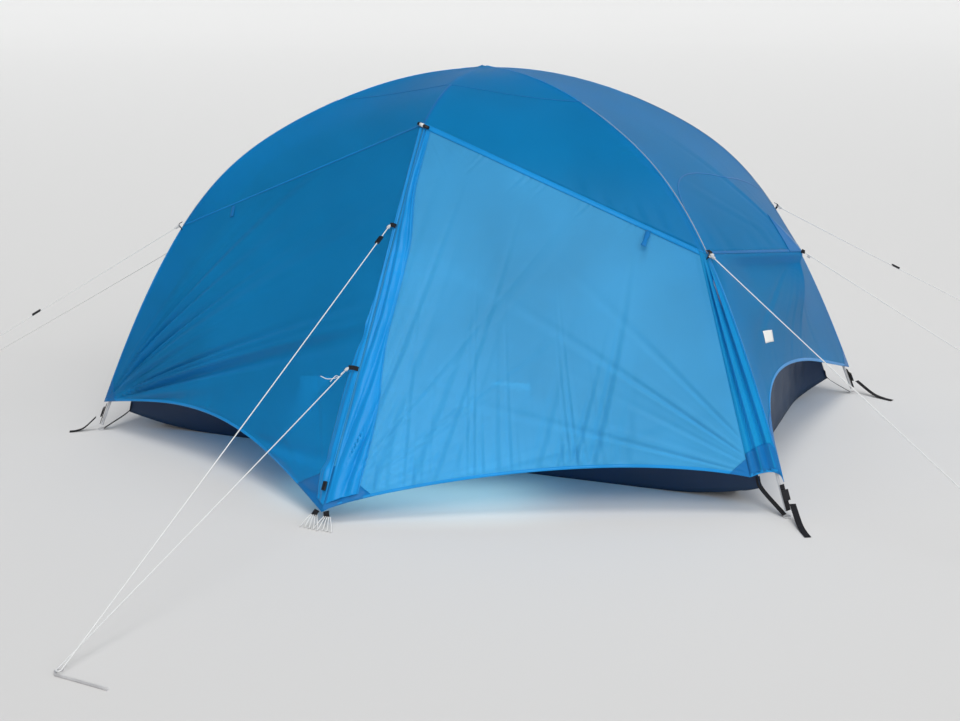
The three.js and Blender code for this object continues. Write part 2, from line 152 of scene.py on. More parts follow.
def pole_point(sx, sy, t):
    reach, rise = np.moveaxis(bezier(LEG_CONTROL, t), -1, 0)
    return stack(sx * reach * HALF_SPAN_X, sy * reach * HALF_SPAN_Y, rise * HUB_Z)


def brow_point(sy, t):
    y, z = np.moveaxis(bezier(BROW_CONTROL, t), -1, 0)
    return stack(0 * y, sy * y, z)


def fly_pole(sx, sy, v):
    return FLY_SCALE * pole_point(sx, sy, 1 - np.asarray(v) * (1 - CLIP_T))


def fly_brow(sy, v):
    return FLY_SCALE * brow_point(sy, v)


def fly_leg(sx, sy, w):
    return FLY_SCALE * pole_point(sx, sy, CLIP_T * (1 - np.asarray(w)))


def ridge_point(sy, w):
    foot = np.array((RIDGE_FOOT_X * sy, RIDGE_FOOT_Y * sy, RIDGE_FOOT_Z))
    return mix(fly_brow(sy, 1.0), foot, w)


def hinge_point(sx, sy, w):
    top, bottom = fly_leg(sx, sy, 0.0), fly_leg(sx, sy, 1.0)
    to_apex = ridge_point(sy, 0.0) - top
    to_peg = ridge_point(sy, 1.0) - bottom
    top = top + BAND_TOP * to_apex / np.linalg.norm(to_apex)
    bottom = bottom + BAND_FOOT * to_peg / np.linalg.norm(to_peg)
    return mix(top, bottom, w)


def hem_share(s, hem):
    rise, skew, fullness = hem
    arch = np.maximum(0, np.sin(math.pi * np.asarray(s) ** skew))
    return 1 - (1 - LEG_HEM) * s - rise * arch ** fullness


# Cloth surfaces: each takes u (across) and v (down) from 0 to 1 and gives points

def roof_half(sy, sx):
    return lambda u, v: mix(fly_brow(sy, v), fly_pole(sx, sy, v), u)


def hood_tip(sx):
    return np.array((HOOD_TIP_X * sx, 0, HOOD_TIP_Z))


def hood_bulge(sx):
    return hood_tip(sx) - fly_pole(sx, 1, 1.0) * (1, 0, 1)


def roof_end(sx):
    def point(u, v):
        chord = mix(fly_pole(sx, -sx, v), fly_pole(sx, sx, v), u)
        pull = np.asarray(v) ** 4 * (1 - np.abs(2 * u - 1))
        return chord + pull[..., None] * hood_bulge(sx)
    return point


def lower_end(sx):
    def point(u, v):
        side = np.abs(2 * u - 1)
        w = (LEG_HEM - END_HEM_RISE * np.sin(math.pi * u ** END_HEM_SKEW)) * v
        chord = mix(fly_leg(sx, -sx, w), fly_leg(sx, sx, w), u)
        pull = (1 - smooth(w / 0.8)) * (1 - side)
        return chord + pull[..., None] * hood_bulge(sx)
    return point


def vestibule(inner, outer, start, end, hem):
    def point(u, v):
        w = hem_share(start + (end - start) * u, hem) * v
        return mix(inner(w), outer(w), u)
    return point


def fixed_panel(sy):
    return vestibule(lambda w: ridge_point(sy, w), lambda w: fly_leg(sy, sy, w), 0, 1, PANEL_HEM)


def door_panel(sy):
    return vestibule(lambda w: ridge_point(sy, w), lambda w: hinge_point(-sy, sy, w),
                     0, 1 - BAND_SHARE, DOOR_HEM)


def door_band(sy):
    return vestibule(lambda w: hinge_point(-sy, sy, w), lambda w: fly_leg(-sy, sy, w),
                     1 - BAND_SHARE, 1, DOOR_HEM)


# Meshes

def link(obj, body="tent"):
    put_in_scene(obj)
    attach(obj, body)
    return obj


def surface_normals(points, out_from=(0, 0, 0.35)):
    normals = np.cross(np.gradient(points, axis=1), np.gradient(points, axis=0))
    length = np.linalg.norm(normals, axis=-1, keepdims=True)
    normals = normals / np.maximum(length, 1e-12)
    outwards = points - np.array(out_from)
    flip = np.sign((normals * outwards).sum(axis=-1).mean())
    return normals * flip


def edge_mask(u, v, points, depth):
    """0 on the sheet's four edges, rising to 1 within depth."""
    width = np.linalg.norm(points[:, -1] - points[:, 0], axis=-1)[:, None]
    height = np.linalg.norm(points[-1] - points[0], axis=-1)[None, :]
    near = np.minimum(np.minimum(u, 1 - u) * width, np.minimum(v, 1 - v) * height)
    return smooth(near / depth)


def grid_patch(points, uvs, kind):
    """Vertices, faces, UVs in metres of cloth and a material number, from a grid of points."""
    index = np.arange(points.shape[0] * points.shape[1]).reshape(points.shape[:2])
    faces = np.stack((index[:-1, :-1], index[1:, :-1], index[1:, 1:], index[:-1, 1:]), axis=-1)
    return points.reshape(-1, 3), faces.reshape(-1, 4), uvs.reshape(-1, 2), kind


class Panel:
    """One sewn panel: points over u (across) and v (down), each from 0 to 1, with its folds."""

    def __init__(self, surface, across, along, relief=None, mask_depth=0.02):
        self.u, self.v = grid((0, 1, across + 1), (0, 1, along + 1))
        points = surface(self.u, self.v)
        if relief is not None:
            height = relief(self.u, self.v, points) * edge_mask(self.u, self.v, points, mask_depth)
            points = points + height[..., None] * surface_normals(points)
        self.points = points
        self.normals = surface_normals(points)
        self.row_length = np.linalg.norm(np.diff(points, axis=1), axis=-1).sum(axis=1)
        self.column_length = np.linalg.norm(np.diff(points, axis=0), axis=-1).sum(axis=0)

    def cloth(self, u, v):
        return np.stack((u * self.row_length.max(), v * self.column_length.max()), axis=-1)

    def patch(self, kind=0):
        return grid_patch(self.points, self.cloth(self.u, self.v), kind)

    def between(self, values, u, v):
        rows, columns = values.shape[0] - 1, values.shape[1] - 1
        x, y = np.clip(u, 0, 1) * columns, np.clip(v, 0, 1) * rows
        i, j = np.minimum(x.astype(int), columns - 1), np.minimum(y.astype(int), rows - 1)
        a, b = (x - i)[..., None], (y - j)[..., None]
        upper = values[j, i] * (1 - a) + values[j, i + 1] * a
        lower = values[j + 1, i] * (1 - a) + values[j + 1, i + 1] * a
        return upper * (1 - b) + lower * b

    def at(self, u, v, lift=0.0):
        """Points on the panel, raised by lift off its outer face."""
        u, v = np.broadcast_arrays(np.asarray(u, float), np.asarray(v, float))
        lift = np.broadcast_to(np.asarray(lift, float), u.shape)
        return self.between(self.points, u, v) + lift[..., None] * self.between(self.normals, u, v)

    def overlay(self, u, v, kind, lift):
        u, v = np.clip(u, 0, 1), np.clip(v, 0, 1)
        return grid_patch(self.at(u, v, lift), self.cloth(u, v), kind)

    def edge_band(self, edge, width, kind, start=0.0, end=1.0, lift=0.0011, steps=70):
        """A tape of this width just inside one edge: u0, u1, v0 or v1."""
        along, part = grid((start, end, steps + 1), (0, 1, 4))
        length = self.row_length if edge[0] == "u" else self.column_length
        share = part * width / np.interp(along, np.linspace(0, 1, len(length)), length)
        inward = share if edge[1] == "0" else 1 - share
        u, v = (inward, along) if edge[0] == "u" else (along, inward)
        return self.overlay(u, v, kind, lift)

    def line_band(self, u_line, v_line, width, kind, lift=0.0011):
        """A tape of this width along a line across the panel."""
        wide, high = self.row_length.max(), self.column_length.max()
        step = np.stack((np.gradient(u_line) * wide, np.gradient(v_line) * high), axis=-1)
        step /= np.linalg.norm(step, axis=-1, keepdims=True)
        offset = np.linspace(-0.5, 0.5, 4)[:, None] * width
        return self.overlay(u_line - offset * step[:, 1] / wide, v_line + offset * step[:, 0] / high,
                            kind, lift)

    def corner_patch(self, corner, reach, kind, lift=0.0012, steps=16):
        """A triangle of doubled cloth on a corner, reaching this far along u and v."""
        part, turn = grid((0.01, 1, steps), (0, 1, steps))
        return self.overlay(corner[0] + reach[0] * part * (1 - turn), corner[1] + reach[1] * part * turn,
                            kind, lift)


def new_mesh(name, vertices, faces):
    mesh = bpy.data.meshes.new(name)
    mesh.from_pydata(vertices, [], faces)
    return mesh


def build_mesh(name, patches, materials, weld=0.0004):
    """One mesh from patches, welded where their edges meet."""
    vertices = np.concatenate([patch[0] for patch in patches])
    offsets = np.cumsum([0] + [len(patch[0]) for patch in patches])
    faces = np.concatenate([patch[1] + offset for patch, offset in zip(patches, offsets)])
    uvs = np.concatenate([patch[2] for patch in patches])
    kinds = np.concatenate([np.full(len(patch[1]), patch[3]) for patch in patches])
    mesh = new_mesh(name, vertices.tolist(), faces.tolist())
    layer = mesh.uv_layers.new(name="cloth")
    layer.data.foreach_set("uv", uvs[faces.reshape(-1)].reshape(-1))
    mesh.polygons.foreach_set("material_index", kinds.astype(np.int32))
    for material in materials:
        mesh.materials.append(material)
    if weld:
        clean_mesh(mesh, weld)
    mesh.shade_smooth()
    return bpy.data.objects.new(name, mesh)


def clean_mesh(mesh, weld=None):
    """Joins vertices closer than weld, where it is given, and turns every face outwards."""
    work = bmesh.new()
    work.from_mesh(mesh)
    if weld:
        bmesh.ops.remove_doubles(work, verts=work.verts, dist=weld)
    bmesh.ops.recalc_face_normals(work, faces=work.faces)
    work.to_mesh(mesh)
    work.free()


def thicken(obj, thickness=CLOTH, offset=0.0):
    solid = obj.modifiers.new("cloth", "SOLIDIFY")
    solid.thickness = thickness
    solid.offset = offset
    return obj


def curve_through(points, count):
    """Evenly spread points on a smooth open curve through a few given ones."""
    given = [np.asarray(point, float) for point in points]
    ends = [2 * given[0] - given[1], *given, 2 * given[-1] - given[-2]]
    found = []
    for share in np.linspace(0, len(given) - 1 - 1e-6, count):
        k, t = int(share), share - int(share)
        a, b, c, d = ends[k:k + 4]
        found.append(0.5 * (2 * b + (c - a) * t + (2 * a - 5 * b + 4 * c - d) * t * t
                            + (3 * b - a - 3 * c + d) * t ** 3))
    return np.array(found)


def sweep(points, section, side=None):
    """Vertices and faces of a closed section swept along points; side is its first axis."""
    points = np.asarray(points, float)
    along = np.gradient(points, axis=0)
    along /= np.linalg.norm(along, axis=-1, keepdims=True)
    side = np.asarray(side if side is not None else (0.31, 0.17, 0.93), float)
    across = np.cross(np.cross(along, side), along)
    across /= np.linalg.norm(across, axis=-1, keepdims=True)
    up = np.cross(along, across)
    rings = points[:, None] + section[None, :, :1] * across[:, None] + section[None, :, 1:] * up[:, None]
    count = len(section)
    faces = []
    for start in range(0, (len(points) - 1) * count, count):
        for i in range(count):
            after = (i + 1) % count
            faces.append([start + i, start + after, start + count + after, start + count + i])
    ends = [list(range(count)), list(range((len(points) - 1) * count, len(points) * count))[::-1]]
    return rings.reshape(-1, 3), faces + ends


def circle(radius, sides=10):
    angle = np.linspace(0, 2 * math.pi, sides, endpoint=False)
    return radius * np.stack((np.cos(angle), np.sin(angle)), axis=-1)


def flat_section(width, thickness):
    x, y = width / 2, thickness / 2
    return np.array(((-x, -y), (x, -y), (x, y), (-x, y)))


def solid_object(name, sweeps, material, body="tent", smooth_sides=True):
    """One object from several swept solids."""
    vertices, faces, start = [], [], 0
    for points, sides in sweeps:
        vertices.extend(points.tolist())
        faces.extend([[start + i for i in side] for side in sides])
        start += len(points)
    mesh = new_mesh(name, vertices, faces)
    mesh.materials.append(material)
    clean_mesh(mesh)
    if smooth_sides:
        mesh.shade_smooth()
    return link(bpy.data.objects.new(name, mesh), body)


# Relief of the cloth: heights in metres along its outward normal

def crease(angle):
    """A wave with one rounded side and one sharper side."""
    return np.sin(angle) + 0.32 * np.sin(2 * angle + 0.9)


def fan(corner, axis, normal, reach, spread, height, phase=0.0, start=0.06, width=3.0):
    """Folds that spread from a corner, one every spread degrees, within width radians of the axis."""
    corner, axis = np.asarray(corner, float), unit(np.asarray(axis, float))
    across = unit(np.cross(normal, axis))

    def relief(u, v, points):
        offset = points - corner
        distance = np.linalg.norm(offset, axis=-1)
        angle = np.arctan2((offset * across).sum(-1), (offset * axis).sum(-1))
        turns = 360 * angle / (2 * math.pi * spread)
        uneven = 0.55 + 0.45 * np.sin(0.61 * 2 * math.pi * turns + 2.1 * phase)
        wave = crease(2 * math.pi * turns + 1.1 * np.sin(1.7 * turns + phase) + phase)
        length = reach * (0.75 + 0.45 * np.sin(0.37 * 2 * math.pi * turns + phase))
        fade = np.exp(-(distance / length) ** 2) * smooth(distance / start)
        rising = np.clip(distance / 0.25, 0.25, 1)
        return height * wave * uneven * fade * rising * smooth((width - np.abs(angle)) / 0.2)
    return relief


def billow(height, pitch, phase=0.0):
    """Broad shallow unevenness."""
    def relief(u, v, points):
        x, y, z = np.moveaxis(points / pitch, -1, 0)
        first = np.sin(2.1 * x + 1.3 * y + 2.9 * z + phase)
        second = np.sin(-1.7 * x + 2.6 * y + 1.1 * z + 2.3 * phase + 0.7)
        third = np.sin(3.9 * x - 2.2 * z + 1.1 * y + phase)
        return height * (first + second + 0.5 * third) / 2.5
    return relief


def mean_reach(points, axis):
    """The mean distance between the two edges of a grid of points along one of its axes."""
    return np.linalg.norm(points.take(-1, axis=axis) - points.take(0, axis=axis), axis=-1).mean()


def pleats(edge, pitch, depth, height, phase=0.0, start=0.0, end=1.0, slant=0.0):
    """Short gathers square to one edge (u0, u1, v0 or v1), between two places along it."""
    def relief(u, v, points):
        across = {"u0": u, "u1": 1 - u, "v0": v, "v1": 1 - v}[edge]
        along = v if edge[0] == "u" else u
        step = 0 if edge[0] == "u" else 1
        run, size = mean_reach(points, step), mean_reach(points, 1 - step)
        way = (along * run + slant * across * size) / pitch
        wave = crease(2 * math.pi * way + 2.2 * np.sin(way * 1.31 + phase) + phase)
        strength = 0.55 + 0.45 * np.sin(way * 0.73 + 2 * phase)
        length = depth * (0.7 + 0.5 * np.sin(way * 1.9 + phase))
        within = smooth((along - start) / 0.08) * smooth((end - along) / 0.08)
        return height * strength * wave * np.exp(-(across * size / length) ** 2) * within
    return relief


def hollow(edge, depth, reach, height_share=(0.0, 1.0)):
    """A pocket pushed inwards beside one edge."""
    def relief(u, v, points):
        across = {"v0": v, "v1": 1 - v}[edge]
        inside = smooth((u - height_share[0]) / 0.2) * smooth((height_share[1] - u) / 0.2)
        return -depth * smooth(across / 0.12) * (1 - smooth((across - 0.12) / reach)) * inside
    return relief


def all_of(*reliefs):
    return lambda u, v, points: sum(relief(u, v, points) for relief in reliefs)


def crumple(u, v):
    """The long untidy gathers of a narrow flap, 0 at its edges."""
    y = 9 * v
    long_folds = crease(2 * math.pi * (1.6 * u + 0.42 * np.sin(0.9 * y + 0.4) + 0.16 * y))
    short_folds = np.sin(4.7 * y + 5 * u) + 0.6 * np.sin(8.3 * y - 7 * u)
    return np.sin(math.pi * u) ** 0.7 * (0.005 + 0.0036 * long_folds + 0.0009 * short_folds)


# Materials

WAVE_SCALE = 3.1831             # bands in a metre of a wave texture whose scale is 1
SHEEN = 0.10                    # the soft gloss at grazing angles of cloth that lets light through


def shade(colour, factor):
    return tuple(min(channel * factor, 1) for channel in colour[:3]) + (1,)


class Nodes:
    """A new material and short calls for building its node tree."""

    def __init__(self, name):
        self.material = bpy.data.materials.new(name)
        self.material.use_nodes = True
        self.tree = self.material.node_tree
        self.tree.nodes.clear()

    def add(self, kind, inputs=None, **settings):
        node = self.tree.nodes.new(kind)
        for key, value in settings.items():
            setattr(node, key, value)
        for key, value in (inputs or {}).items():
            if isinstance(value, bpy.types.NodeSocket):
                self.tree.links.new(value, node.inputs[key])
            else:
                node.inputs[key].default_value = value
        return node

    def place(self):
        return self.add("ShaderNodeTexCoord").outputs["Object"]

    def noise(self, vector, scale, detail=3.0, rough=0.5):
        node = self.add("ShaderNodeTexNoise", {"Vector": vector, "Scale": scale, "Detail": detail,
                                               "Roughness": rough})
        return node.outputs["Fac"]

    def bands(self, vector, pitch, direction):
        """Thin threads every pitch metres, 1 on a thread."""
        wave = self.add("ShaderNodeTexWave", {"Vector": vector, "Scale": 1 / pitch / WAVE_SCALE},
                        wave_type="BANDS", bands_direction=direction)
        return self.math("POWER", wave.outputs["Fac"], 6.0)

    def math(self, operation, first, second=0.0):
        return self.add("ShaderNodeMath", {0: first, 1: second}, operation=operation).outputs[0]

    def ramp(self, fac, low, high, start=0.0, end=1.0):
        node = self.add("ShaderNodeValToRGB", {"Fac": fac})
        for stop, place, colour in zip(node.color_ramp.elements, (start, end), (low, high)):
            stop.position = place
            stop.color = colour
        return node.outputs["Color"]

    def bump(self, height, strength, distance):
        return self.add("ShaderNodeBump", {"Height": height, "Strength": strength,
                                           "Distance": distance}).outputs["Normal"]

    def mix(self, factor, first, second):
        return self.add("ShaderNodeMixShader", {"Fac": factor, 1: first, 2: second}).outputs[0]

    def principled(self, inputs):
        return self.add("ShaderNodeBsdfPrincipled", inputs).outputs["BSDF"]

    def finish(self, shader):
        self.add("ShaderNodeOutputMaterial", {"Surface": shader})
        return self.material


def cloth_material(name, colour, lit, glow, see=0.0, tint=None, rough=0.42, ripstop=0.006, weave=0.16):
    """Coated ripstop: a fine grid of thicker threads, a soft gloss, and light that comes through."""
    n = Nodes(name)
    cloth = n.add("ShaderNodeUVMap", uv_map="cloth").outputs["UV"]
    place = n.place()
    threads = n.math("MAXIMUM", n.bands(cloth, ripstop, "X"), n.bands(cloth, ripstop, "Y"))
    patchy = n.noise(place, 2.6, 4.0)
    fine = n.noise(place, 900.0, 2.0)
    tone = n.ramp(patchy, shade(colour, 0.88), shade(colour, 1.14), 0.3, 0.7)
    mixed = n.add("ShaderNodeMix", {"Factor": n.math("MULTIPLY", threads, weave), 6: tone,
                                    7: shade(colour, 0.7)}, data_type="RGBA").outputs[2]
    height = n.math("ADD", threads, n.math("MULTIPLY", fine, 0.5))
    normal = n.bump(height, 0.16, 0.0005)
    roughness = n.math("ADD", n.math("MULTIPLY", patchy, 0.12), rough - 0.06)
    shader = n.principled({"Base Color": mixed, "Roughness": roughness, "Normal": normal, "IOR": 1.45,
                           "Sheen Weight": SHEEN if glow else 0.0, "Sheen Roughness": 0.5})
    if glow:
        shader = n.mix(glow, shader, n.add("ShaderNodeBsdfTranslucent", {"Color": lit}).outputs["BSDF"])
    if see:
        shader = n.mix(see, shader, n.add("ShaderNodeBsdfTransparent", {"Color": tint}).outputs["BSDF"])
    return n.finish(shader)


def solid_material(name, colour, rough, metal=0.0, grain=400.0, bump=0.15, spread=0.06):
    """Moulded plastic, alloy or cord: fine grain, uneven gloss and slight colour variation."""
    n = Nodes(name)
    place = n.place()
    broad = n.noise(place, 35.0, 4.0)
    fine = n.noise(place, grain, 3.0)
    tone = n.ramp(broad, shade(colour, 0.86), shade(colour, 1.1), 0.3, 0.7)
    roughness = n.math("ADD", n.math("MULTIPLY", fine, 2 * spread), rough - spread)
    return n.finish(n.principled({"Base Color": tone, "Roughness": roughness, "Metallic": metal,
                                  "Normal": n.bump(fine, bump, 0.0003)}))


def woven_material(name, colour, pitch=0.0016):
    """Webbing or braided cord: fine slanted threads."""
    n = Nodes(name)
    wave = n.add("ShaderNodeTexWave", {"Vector": n.place(), "Scale": 1 / pitch / WAVE_SCALE,
                                       "Distortion": 0.6}, bands_direction="DIAGONAL").outputs["Fac"]
    tone = n.ramp(wave, shade(colour, 0.75), shade(colour, 1.1))
    return n.finish(n.principled({"Base Color": tone, "Roughness": 0.8,
                                  "Normal": n.bump(wave, 0.5, 0.0004)}))


BLUE = (0.001, 0.32, 0.62, 1)
# The door band is fly cloth; its blue is painted lighter, as painted light where the band faces the lamps.
BAND_BLUE_PAINTED_LIGHTER = (0.006, 0.42, 0.74, 1)
# The door is fly cloth; its lighter, whitish blue is a painted sheen, the key light's reflection put into
# its colour.
DOOR_BLUE_WITH_PAINTED_SHEEN = (0.08, 0.48, 0.80, 1)
TAPE_BLUE = (0.001, 0.28, 0.68, 1)
PATCH_BLUE = (0.002, 0.17, 0.46, 1)
LIT_BLUE = (0.30, 0.78, 1.0, 1)
SEEN_THROUGH = (0.02, 0.50, 0.88, 1)
MESH_TINT = (0.75, 0.80, 0.85, 1)
FLY, TAPE, PATCH, PIPING_AND_POLE_HIGHLIGHT, LABEL, BAND = range(6)
MATERIALS = {
    "fly": cloth_material("fly_cloth", BLUE, LIT_BLUE, 0.50, 0.30, SEEN_THROUGH),
    "band": cloth_material("band_cloth_painted_lighter", BAND_BLUE_PAINTED_LIGHTER, LIT_BLUE, 0.50, 0.24, SEEN_THROUGH),
    "door": cloth_material("door_cloth", DOOR_BLUE_WITH_PAINTED_SHEEN, LIT_BLUE, 0.48, 0.16, SEEN_THROUGH),
    "tape": cloth_material("seam_tape", TAPE_BLUE, LIT_BLUE, 0.25, rough=0.38),
    "patch": cloth_material("corner_patch", PATCH_BLUE, LIT_BLUE, 0.30),
    # Pale piping, also lightened as a painted highlight where the cloth lies over a pole.
    "piping": cloth_material("pale_piping_and_pole_highlight", (0.33, 0.40, 0.50, 1), LIT_BLUE, 0.1, rough=0.5),
    "label": cloth_material("blank_label", (0.78, 0.78, 0.76, 1), LIT_BLUE, 0.0, rough=0.6),
    "inner": cloth_material("inner_mesh", (0.10, 0.12, 0.14, 1), MESH_TINT, 0.15, 0.35, MESH_TINT,
                            rough=0.8, ripstop=0.002),
    "tub": cloth_material("tub_cloth", (0.008, 0.030, 0.075, 1), BLUE, 0.0, rough=0.45),
    "webbing": woven_material("black_webbing", (0.012, 0.012, 0.015, 1)),
    "cord": woven_material("white_cord", (0.72, 0.73, 0.73, 1), 0.0012),
    "plastic": solid_material("black_plastic", (0.014, 0.014, 0.017, 1), 0.42),
    "pole": solid_material("pole_alloy", (0.60, 0.61, 0.63, 1), 0.36, metal=0.35, bump=0.06),
    "peg": solid_material("peg_alloy", (0.62, 0.62, 0.63, 1), 0.40, metal=0.3, bump=0.08),
}
FLY_MATERIALS = [MATERIALS[name] for name in ("fly", "tape", "patch", "piping", "label", "band")]
DOOR_MATERIALS = [MATERIALS[name] for name in ("door", "tape", "patch", "piping", "label")]


# Guylines

def leg_outwards(sx, sy):
    return unit(np.array((sx * HALF_SPAN_X, sy * HALF_SPAN_Y, 0)))


def cord_curve(name, points, diameter=CORD_D):
    curve = bpy.data.curves.new(name, "CURVE")
    curve.dimensions = "3D"
    curve.bevel_depth = diameter / 2
    curve.bevel_resolution = 3
    curve.use_fill_caps = True
    spline = curve.splines.new("POLY")
    spline.points.add(len(points) - 1)
    for spot, point in zip(spline.points, points):
        spot.co = (*point, 1)
    curve.materials.append(MATERIALS["cord"])
    return link(bpy.data.objects.new(name, curve))


def taut(start, end, count=18, sag=0.003):
    share = np.linspace(0, 1, count)
    points = mix(np.asarray(start, float), np.asarray(end, float), share)
    points[:, 2] -= 4 * sag * share * (1 - share)
    return points


def add_guyline(name, points, node):
    cord = cord_curve(name, points)
    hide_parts(node)
    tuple(points[0])


def corner_clip(sx, sy):
    """Where a corner guyline is tied, just outside the fly's clip."""
    return fly_leg(sx, sy, 0.0) + 0.014 * leg_outwards(sx, sy)


def ridge_tie(sy, w, aside):
    """Where a ridge guyline is tied, on the fixed panel's side of the ridge."""
    return ridge_point(sy, w) + (aside * sy, 0.018 * sy, 0.010)


def add_guylines():
    for corner, (sx, sy) in CORNERS.items():
        add_guyline(f"cord_{corner}", taut(corner_clip(sx, sy), (*CORNER_PEG[corner], CORD_END_Z)),
                    f"guyline_{corner}")
    for side, sx in SIDES.items():
        tip = ((HOOD_TIP_X + 0.008) * sx, 0, HOOD_TIP_Z)
        add_guyline(f"hood_cord_{side}", taut(tip, (*HOOD_PEG[side], CORD_END_Z)),
                    f"hood_guyline_{side}")
    for end, sy in ENDS.items():
        peg = np.array((*RIDGE_PEG[end], CORD_END_Z))
        angle = np.linspace(0, math.pi, 7)
        turn = peg + CORD_TURN_R * stack(sy * np.cos(angle), sy * np.sin(angle), 0 * angle)
        points = np.concatenate((taut(ridge_tie(sy, RIDGE_GUY_LOW, 0.025), turn[0], 14), turn[1:-1],
                                 taut(turn[-1], ridge_tie(sy, RIDGE_GUY_HIGH, 0.012), 14)))
        add_guyline(f"ridge_cord_{end}", points,
                    f"ridge_guyline_{end}")


# Fly

def fixed_relief(sy):
    foot, peg, apex = fly_leg(sy, sy, LEG_HEM), ridge_point(sy, 1.0), ridge_point(sy, 0.0)
    clip = fly_leg(sy, sy, 0.0)
    normal = np.cross(peg - apex, foot - apex)
    return all_of(
        fan(foot, 0.50 * apex + 0.50 * peg - foot, normal, 1.00, 7.5, 0.0260, 0.6, width=0.66),
        fan(foot, 0.64 * apex + 0.36 * peg - foot, normal, 0.80, 6.2, 0.0180, 3.9, width=0.5),
        fan(peg, clip - peg, normal, 0.30, 9.0, 0.0022, 1.9, width=0.7),
        fan(apex, foot - apex, normal, 0.20, 9.0, 0.0012, 0.4),
        pleats("v1", 0.070, 0.09, 0.0012, 0.8),
        billow(0.003, 0.35, 1.0))


def door_relief(sy):
    foot, peg, apex = fly_leg(-sy, sy, LEG_HEM), ridge_point(sy, 1.0), ridge_point(sy, 0.0)
    normal = np.cross(peg - apex, foot - apex)
    return all_of(
        fan(peg, 0.55 * foot + 0.45 * apex - peg, normal, 0.70, 4.4, 0.0024, 0.3, width=0.85),
        fan(foot, 0.62 * apex + 0.38 * peg - foot, normal, 0.66, 6.5, 0.0036, 2.2, width=0.42),
        fan(apex, foot - apex, normal, 0.14, 10.0, 0.0014, 1.0),
        pleats("v1", 0.026, 0.26, 0.0022, 1.6, end=0.75, slant=0.12),
        pleats("v1", 0.061, 0.38, 0.0045, 0.2, end=0.80, slant=-0.2),
        pleats("v0", 0.024, 0.060, 0.0012, 0.4, start=0.12, slant=0.8),
        pleats("u0", 0.045, 0.14, 0.0011, 1.1, start=0.3, end=0.75),
        billow(0.0028, 0.30, 2.0))


def band_relief(u, v, points):
    """Long pleats that run down the band beside a door."""
    return 0.0075 * crease(2 * math.pi * 2.6 * u + 0.7 * np.sin(4 * v) + 0.4) * smooth(v / 0.25)


def roof_seam(u):
    """The seam across the roof's front, as v over u from the brow to the pole."""
    return 0.54 - 0.20 * u ** 0.8


def hood_seam(u):
    """The arched seam of an end hood, as v over u from leg to leg."""
    return 1 - 0.22 * np.sin(math.pi * np.sqrt(u)) ** 0.6


def leg_details(panel, edge):
    """The tape down a leg seam and the doubled corner at its foot."""
    corner = (float(edge[1]), 1.0)
    reach = 0.055 if edge[1] == "0" else -0.055
    return [panel.edge_band(edge, 0.005, TAPE), panel.corner_patch(corner, (reach, -0.09), PATCH)]


def crown_bump(u, v, points):
    """The pole hub, felt through the cloth."""
    return 0.008 * np.exp(-(points[..., 0] ** 2 + points[..., 1] ** 2) / 0.030 ** 2)


def roof_patches(sx, sy):
    panel = Panel(roof_half(sy, sx), 70, 80, all_of(
        billow(0.0026, 0.28, sx + 2 * sy), pleats("u1", 0.05, 0.06, 0.0014, sx + sy),
        pleats("v1", 0.045, 0.06, 0.0014, 2 * sx + sy), crown_bump), mask_depth=0.008)
    across = np.linspace(0.0, 1.0, 50)
    return [
        panel.patch(),
        panel.edge_band("u1", 0.004, TAPE),
        panel.edge_band("u0", 0.004, PATCH, start=0.54),
        panel.edge_band("v1", 0.003, TAPE),
        panel.line_band(across, roof_seam(across), 0.005, PATCH),
    ]


def hood_patches(sx):
    folds = fan(hood_tip(sx), (-sx, 0, 0.7), (sx, 0, 0.4), 0.30, 12.0, 0.0032, 0.5)
    panel = Panel(roof_end(sx), 100, 90, all_of(folds, billow(0.002, 0.3, sx),
                                                pleats("v1", 0.05, 0.06, 0.0012)))
    across = np.linspace(0.004, 0.93, 90)
    return [
        panel.patch(),
        panel.edge_band("v1", 0.006, PATCH),
        # A pale strip down each pole edge of the hood: seam piping, and a painted highlight along the
        # pole.
        panel.edge_band("u0", 0.004, PIPING_AND_POLE_HIGHLIGHT, start=0.35, lift=0.0018),
        panel.edge_band("u1", 0.004, PIPING_AND_POLE_HIGHLIGHT, start=0.35, lift=0.0018),
        panel.line_band(across, hood_seam(across), 0.0045, PATCH),
        panel.corner_patch((0.5, 1.0), (0.07, -0.08), PATCH, lift=0.002),
        panel.corner_patch((0.5, 1.0), (-0.07, -0.08), PATCH, lift=0.002),
    ]


def end_patches(sx):
    folds = fan(hood_tip(sx), (0, 0, -1), (sx, 0, 0.4), 0.40, 13.0, 0.0030, 1.2)
    panel = Panel(lower_end(sx), 110, 90, all_of(
        folds, hollow("v0", 0.026, 0.45, (0.02, 0.62)), pleats("v1", 0.06, 0.08, 0.0012),
        pleats("u1", 0.30, 0.06, 0.004, 0.7), billow(0.003, 0.3, 2 + sx)))
    patches = [panel.patch(), panel.edge_band("v1", 0.007, TAPE),
               *leg_details(panel, "u0"), *leg_details(panel, "u1")]
    if sx > 0:
        u, v = grid((0.16, 0.225, 8), (0, 1, 8))
        patches.append(panel.overlay(u, 0.69 + 0.45 * (u - 0.16) + 0.085 * v, LABEL, 0.0012))
    return patches


def share_of_row(panel, v, width):
    """A width in metres as a share of the panel's own width at v."""
    return width / np.interp(v, np.linspace(0, 1, len(panel.row_length)), panel.row_length)


